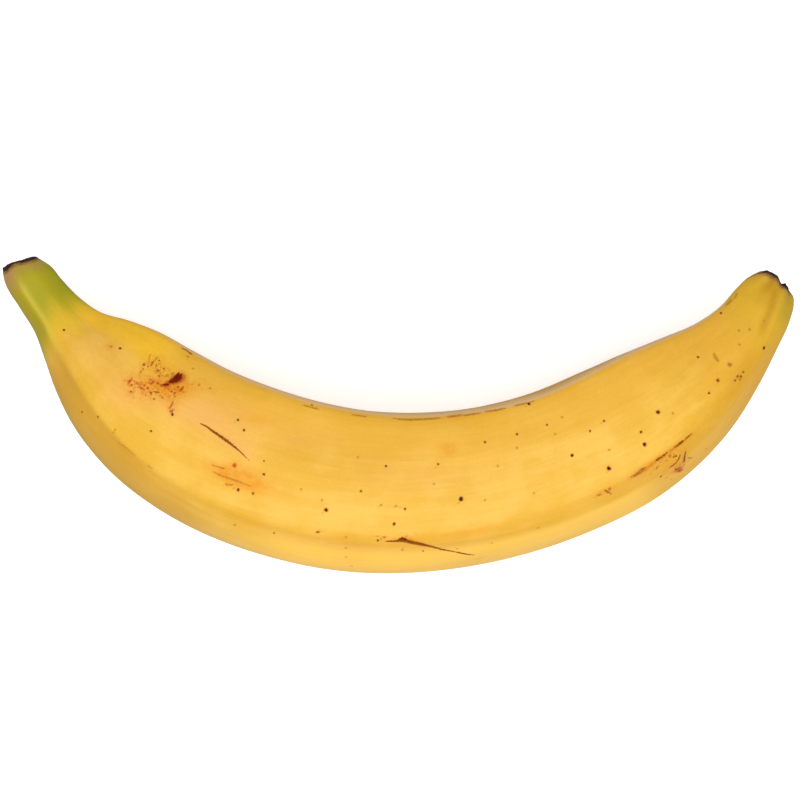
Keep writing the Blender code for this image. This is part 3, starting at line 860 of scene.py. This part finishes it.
# Plantain peel: a waxy skin grown over fibres, ripe yellow with a soft satin shine, and bruised and
# scratched in handling. Heights are in mm.
peelLook = {
    # the amber colour below is partly painted shade, along the hollow side and on the lower face towards the
    # tip
    "yellow": "D8AA42", "yellowDeep": "D0A02C", "clear": "E8B744", "amberAndShade": "D09A28",
    # the dull colour below is painted shade, along the dip beside the ridge and on the lower face towards the
    # neck
    "deepAmber": "AE8002", "creaseAndLowerShade": "BE8A18", "lemon": "E2AE06", "neck": "C8A414", "tip": "C69A1E",
    "green": "998E04", "deepGreen": "868404", "olive": "97850A", "tan": "A47C44", "crest": "C2AC3C",
    "ventral": "DCB47C", "groove": "A67800", "edge": "C49C6A", "orange": "CE8800", "flush": "C04C0E",
    "peach": "D8A04C", "halo": "B0620A", "rust": "6E3A18", "dry": "150C08", "dryBrown": "41220F",
    "ior": 1.45, "roughness": 0.46, "roughnessDry": 0.78, "markRoughness": 0.15,
    "shine": 0.3, "markShine": 0.05,
    "fibreHeight": 0.05, "poreHeight": 0.035, "markDepth": 0.12, "dryHeight": 0.35, "bump": 0.8,
}
# Each colour is laid over the ones before it
coatOrder = (
    "clear", "amberAndShade", "lemon", "peach", "creaseAndLowerShade", "neck", "green", "deepGreen", "tip", "olive", "crest",
    "deepAmber", "edge", "ventral", "groove", "tan",
)
markTones = ("380E00", "641200", "B43A06", "6E3602", "8E6E10")
# Dots of a knocked spot: distance between them in mm, and the two tones that theirs lie between
dots = ((1.7, "8A360A", "B2480C"), (1.15, "C0580C", "985408"), (0.8, "927010", "B4560C"))

# Noise: the coordinates that it follows, its size in mm and its detail. Real pores are finer, and these
# are as coarse as they need to be to show.
peelPatterns = {
    "mottle": ("straight", 13.0, 3.0),  # patches
    "streak": ("drawn", 3.2, 3.0),  # bands along the fruit
    "fibre": ("drawn", 0.9, 4.0),
    "grain": ("straight", 0.8, 4.0),  # pores and wax
    "stainPatch": ("straight", 2.4, 3.0),
    "knock": ("straight", 1.5, 2.0),
    "bend": ("straight", 0.7, 2.0),  # moves the dots off their cells
    "wobble": ("straight", 0.45, 2.0),  # ragged edges of marks
    "gap": ("straight", 0.42, 2.0),  # breaks in marks
    "deadFibre": ("endPlace", 0.7, 4.0),
}
drawnOut = 0.06  # width of a drawn pattern as a share of its length along the fruit

smooth = {"interpolation_type": "SMOOTHSTEP"}
plus, times, timesPlus = ({"operation": name} for name in ("ADD", "MULTIPLY", "MULTIPLY_ADD"))
colours = {"data_type": "RGBA"}


def peelNoise(tree):
    # noise on mm along the fruit, towards the back and up, stretched lengthwise for the drawn ones
    spaces = {name: addNode(tree, "Attribute", {"attribute_name": name}, {}, "Vector")
              for name in ("straight", "endPlace")}
    spaces["drawn"] = addNode(tree, "VectorMath", times, {0: spaces["straight"], 1: (drawnOut, 1.0, 1.0)})
    noise = {}
    for name, (space, size, detail) in peelPatterns.items():
        noise[name] = addNode(tree, "TexNoise", {}, {
            "Vector": spaces[space], "Scale": 1 / size, "Detail": detail, "Roughness": 0.58})
        noise[name + "Vector"] = noise[name].node.outputs["Color"]
    return noise, spaces["straight"]


def ripeColour(tree, noise, look):
    # two tones of yellow, then every mask lays its colour over the last, and orange stains are patchy
    share = addNode(tree, "Math", timesPlus, {0: noise["streak"], 1: 0.6, 2: noise["mottle"]})
    share = addNode(tree, "MapRange", smooth, {0: share, 1: 0.62, 2: 0.98})
    colour = addNode(tree, "Mix", colours, {0: share, 6: look["yellow"], 7: look["yellowDeep"]}, 2)
    for name in coatOrder:
        mask = addNode(tree, "Attribute", {"attribute_name": name}, {}, "Fac")
        colour = addNode(tree, "Mix", colours, {0: mask, 6: colour, 7: look[name]}, 2)
    patch = addNode(tree, "MapRange", smooth, {0: noise["stainPatch"], 1: 0.3, 2: 0.62, 3: 0.55, 4: 1.0})
    orange = addNode(tree, "Attribute", {"attribute_name": "orange"}, {}, "Fac")
    orange = addNode(tree, "Math", times, {0: orange, 1: patch})
    return addNode(tree, "Mix", colours, {0: orange, 6: colour, 7: look["orange"]}, 2)


def knockedDots(tree, colour, noise, straight, look):
    # a flush in patches, then dots of 0.5 to 1 mm round the middles of cells: each cell draws its dot's
    # radius, its tone, and how strong the mask has to be for the dot to show
    stipple = addNode(tree, "Attribute", {"attribute_name": "stipple"}, {}, "Fac")
    flush = addNode(tree, "MapRange", smooth, {0: noise["knock"], 1: 0.46, 2: 0.6, 3: 0.0, 4: 0.62})
    flush = addNode(tree, "Math", times, {0: stipple, 1: flush})
    colour = addNode(tree, "Mix", colours, {0: flush, 6: colour, 7: look["flush"]}, 2)
    bent = addNode(tree, "VectorMath", timesPlus, {0: noise["bendVector"], 1: (0.9, 0.9, 0.9), 2: straight})
    for size, first, second in dots:
        cells = addNode(tree, "TexVoronoi", {}, {"Vector": bent, "Scale": 1 / size}).node.outputs
        draws = addNode(tree, "SeparateXYZ", {}, {0: cells["Color"]}).node.outputs
        radius = addNode(tree, "MapRange", smooth, {0: draws[2], 1: 0.0, 2: 1.0, 3: 0.16, 4: 0.44})
        dot = addNode(tree, "Math", {"operation": "DIVIDE"}, {0: cells["Distance"], 1: radius})
        dot = addNode(tree, "MapRange", smooth, {0: dot, 1: 0.5, 2: 1.1, 3: 1.0, 4: 0.0})
        there = addNode(tree, "Math", {"operation": "SUBTRACT"}, {0: stipple, 1: draws[0]})
        there = addNode(tree, "MapRange", smooth, {0: there, 1: -0.05, 2: 0.25})
        share = addNode(tree, "Math", times, {0: dot, 1: there})
        share = addNode(tree, "Math", times, {0: share, 1: 0.8})
        tint = addNode(tree, "Mix", colours, {0: draws[1], 6: hexColour(first), 7: hexColour(second)}, 2)
        colour = addNode(tree, "Mix", colours, {0: share, 6: colour, 7: tint}, 2)
    return colour


def toneRamp(tree, tone):
    # a whole number picks one of the tones, and a number between two mixes them
    share = addNode(tree, "Math", {"operation": "DIVIDE"}, {0: tone, 1: len(markTones) - 1.0})
    ramp = addNode(tree, "ValToRGB", {}, {0: share})
    stops = ramp.node.color_ramp.elements
    for _ in markTones[2:]:
        stops.new(0.5)
    for step, colour in enumerate(markTones):
        stops[step].position = step / (len(markTones) - 1)
        stops[step].color = hexColour(colour)
    return ramp


def laidMarks(tree, colour, noise, look):
    # from the distance to a mark in half widths: a soft halo, and over all halos a core with a ragged
    # edge in the mark's own tone, broken up where the mark has gaps. Also gives how marked the peel is.
    wobble = addNode(tree, "VectorMath", timesPlus, {
        0: noise["wobbleVector"], 1: (1.0, 1.0, 0.0), 2: (-0.5, -0.5, 0.0)})
    patches = addNode(tree, "MapRange", smooth, {0: noise["gap"], 1: 0.42, 2: 0.56, 3: -1.0, 4: 0.0})
    marked, cores = 0.0, []
    for number in range(markLayout["layers"]):
        place = addNode(tree, "Attribute", {"attribute_name": "mark%d" % number}, {}, "Vector")
        tint = addNode(tree, "Attribute", {"attribute_name": "markTint%d" % number}, {}, "Vector")
        ragged = addNode(tree, "SeparateXYZ", {}, {0: place}, "Z")
        strength, tone, gaps = addNode(tree, "SeparateXYZ", {}, {0: tint}).node.outputs
        shift = addNode(tree, "VectorMath", {"operation": "SCALE"}, {0: wobble, "Scale": ragged})
        inside = addNode(tree, "VectorMath", timesPlus, {0: place, 1: (1.0, 1.0, 0.0), 2: shift})
        radius = addNode(tree, "VectorMath", {"operation": "LENGTH"}, {0: inside}, "Value")
        whole = addNode(tree, "Math", timesPlus, {0: patches, 1: gaps, 2: 1.0})
        core = addNode(tree, "MapRange", smooth, {0: radius, 1: 0.6, 2: 1.15, 3: 1.0, 4: 0.0})
        core = addNode(tree, "Math", times, {0: core, 1: strength})
        core = addNode(tree, "Math", times, {0: core, 1: whole})
        halo = addNode(tree, "MapRange", smooth, {
            0: radius, 1: 0.9, 2: markLayout["halo"], 3: 0.55, 4: 0.0})
        halo = addNode(tree, "Math", times, {0: halo, 1: strength})
        colour = addNode(tree, "Mix", colours, {0: halo, 6: colour, 7: look["halo"]}, 2)
        cores.append((core, toneRamp(tree, tone)))
        marked = addNode(tree, "Math", {"operation": "MAXIMUM"}, {0: marked, 1: core})
    for core, tint in cores:
        colour = addNode(tree, "Mix", colours, {0: core, 6: colour, 7: tint}, 2)
    return colour, marked


def dryColour(tree, colour, noise, dry, look):
    # dead tissue at both ends: a rusty edge in grains, and black with brown fibre ends
    grains = addNode(tree, "MapRange", smooth, {0: noise["grain"], 1: 0.35, 2: 0.6, 3: 0.3, 4: 0.9})
    rust = addNode(tree, "Attribute", {"attribute_name": "rust"}, {}, "Fac")
    rust = addNode(tree, "Math", times, {0: rust, 1: grains})
    colour = addNode(tree, "Mix", colours, {0: rust, 6: colour, 7: look["rust"]}, 2)
    brown = addNode(tree, "MapRange", smooth, {0: noise["deadFibre"], 1: 0.42, 2: 0.66})
    dead = addNode(tree, "Mix", colours, {0: brown, 6: look["dry"], 7: look["dryBrown"]}, 2)
    return addNode(tree, "Mix", colours, {0: dry, 6: colour, 7: dead}, 2)


def peelRoughness(tree, noise, dry, marked):
    # satin wax, rougher in the pores, on marks and most of all where the tissue is dry
    roughness = addNode(tree, "MapRange", smooth, {
        0: dry, 1: 0.0, 2: 1.0, 3: peelLook["roughness"], 4: peelLook["roughnessDry"]})
    pores = addNode(tree, "MapRange", smooth, {0: noise["grain"], 1: 0.3, 2: 0.7, 3: -0.05, 4: 0.07})
    roughness = addNode(tree, "Math", plus, {0: roughness, 1: pores})
    return addNode(tree, "Math", timesPlus, {0: marked, 1: peelLook["markRoughness"], 2: roughness})


def peelHeight(tree, noise, dry, marked):
    # fibres and pores stand up, marks sink in, and dry tissue is rough, each by its height
    height = addNode(tree, "Math", times, {0: noise["fibre"], 1: peelLook["fibreHeight"]})
    height = addNode(tree, "Math", timesPlus, {0: noise["grain"], 1: peelLook["poreHeight"], 2: height})
    height = addNode(tree, "Math", timesPlus, {0: marked, 1: -peelLook["markDepth"], 2: height})
    dead = addNode(tree, "Math", times, {0: noise["deadFibre"], 1: dry})
    return addNode(tree, "Math", timesPlus, {0: dead, 1: peelLook["dryHeight"], 2: height})


def peelMaterial():
    material = bpy.data.materials.new("waxyPlantainPeel")
    material.use_nodes = True
    tree = material.node_tree
    shader = tree.nodes["Principled BSDF"]
    look = {name: hexColour(value) for name, value in peelLook.items() if isinstance(value, str)}
    noise, straight = peelNoise(tree)
    dry = addNode(tree, "Attribute", {"attribute_name": "dry"}, {}, "Fac")
    colour = ripeColour(tree, noise, look)
    colour = knockedDots(tree, colour, noise, straight, look)
    colour, marked = laidMarks(tree, colour, noise, look)
    # fibres and pores shift the tone by a few per cent
    tone = addNode(tree, "Math", plus, {0: noise["fibre"], 1: noise["grain"]})
    tone = addNode(tree, "MapRange", smooth, {0: tone, 1: 0.7, 2: 1.3, 3: 0.965, 4: 1.03})
    colour = addNode(tree, "VectorMath", {"operation": "SCALE"}, {0: colour, "Scale": tone})
    colour = dryColour(tree, colour, noise, dry, look)
    tree.links.new(colour, shader.inputs["Base Color"])
    tree.links.new(peelRoughness(tree, noise, dry, marked), shader.inputs["Roughness"])
    shine = addNode(tree, "MapRange", smooth, {
        0: marked, 1: 0.0, 2: 1.0, 3: peelLook["shine"], 4: peelLook["markShine"]})
    tree.links.new(shine, shader.inputs["Specular IOR Level"])
    shader.inputs["IOR"].default_value = peelLook["ior"]
    bump = addNode(tree, "Bump", {}, {
        "Height": peelHeight(tree, noise, dry, marked), "Distance": mm, "Strength": peelLook["bump"]})
    tree.links.new(bump, shader.inputs["Normal"])
    return material


peel = makePeel()
peel.data.materials.append(peelMaterial())
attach(peel, "root")
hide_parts("plantain")
print("peel finished")

studio = {
    # places and sizes in metres, powers in watts
    "floorHalfWidth": 2.5, "floor": "F6F6F6", "floorBounce": "BCBCBA", "floorGlow": 0.36,
    "floorRoughness": 0.9, "floorShine": 0.1, "sky": 0.72,
    "keyPlace": (0.02, -0.4, 0.66), "keySize": 0.6, "keyPower": 3.6,
    "fillPlace": (-0.03, 0.1, 0.95), "fillSize": 0.8, "fillPower": 3.0,
}


def makeFloor():
    half = studio["floorHalfWidth"]
    corners = [(-half, -half, 0), (half, -half, 0), (half, half, 0), (-half, half, 0)]
    mesh = bpy.data.meshes.new("floor")
    mesh.from_pydata(corners, [], [(0, 1, 2, 3)])
    floor = bpy.data.objects.new("floor", mesh)
    bpy.context.scene.collection.objects.link(floor)
    # cast acrylic, matt: white to the camera, greyer in the light that it throws back up
    acrylic = bpy.data.materials.new("whiteAcrylicTable")
    acrylic.use_nodes = True
    tree = acrylic.node_tree
    shader = tree.nodes["Principled BSDF"]
    seen = addNode(tree, "LightPath", {}, {}, "Is Camera Ray")
    white, grey = hexColour(studio["floor"]), hexColour(studio["floorBounce"])
    colour = addNode(tree, "Mix", colours, {0: seen, 6: grey, 7: white}, 2)
    tree.links.new(colour, shader.inputs["Base Color"])
    glow = addNode(tree, "Math", times, {0: seen, 1: studio["floorGlow"]})
    tree.links.new(glow, shader.inputs["Emission Strength"])
    shader.inputs["Emission Color"].default_value = hexColour("FFFFFF")
    shader.inputs["Roughness"].default_value = studio["floorRoughness"]
    shader.inputs["Specular IOR Level"].default_value = studio["floorShine"]
    mesh.materials.append(acrylic)


def makeLight(name):
    lamp = bpy.data.lights.new(name, "AREA")
    lamp.shape = "SQUARE"
    lamp.size = studio[name + "Size"]
    lamp.energy = studio[name + "Power"]
    light = bpy.data.objects.new(name, lamp)
    light.location = studio[name + "Place"]
    direction = -light.location
    light.rotation_euler = direction.to_track_quat("-Z", "Y").to_euler()
    bpy.context.scene.collection.objects.link(light)


def makeStudio():
    scene = bpy.context.scene
    makeFloor()
    makeLight("key")
    makeLight("fill")
    world = bpy.data.worlds.new("studio")
    world.use_nodes = True
    world.node_tree.nodes["Background"].inputs["Color"].default_value = (1.0, 1.0, 1.0, 1.0)
    world.node_tree.nodes["Background"].inputs["Strength"].default_value = studio["sky"]
    scene.world = world
    lens = bpy.data.cameras.new("camera")
    lens.lens = view["lens"]
    lens.sensor_width = view["sensor"]
    lens.clip_start = 0.01
    camera = bpy.data.objects.new("camera", lens)
    camera.location = (view["x"] * mm, view["y"] * mm, view["height"] * mm)
    scene.collection.objects.link(camera)
    scene.camera = camera
    scene.view_settings.view_transform = "Standard"
    print("studio ready")


makeStudio()
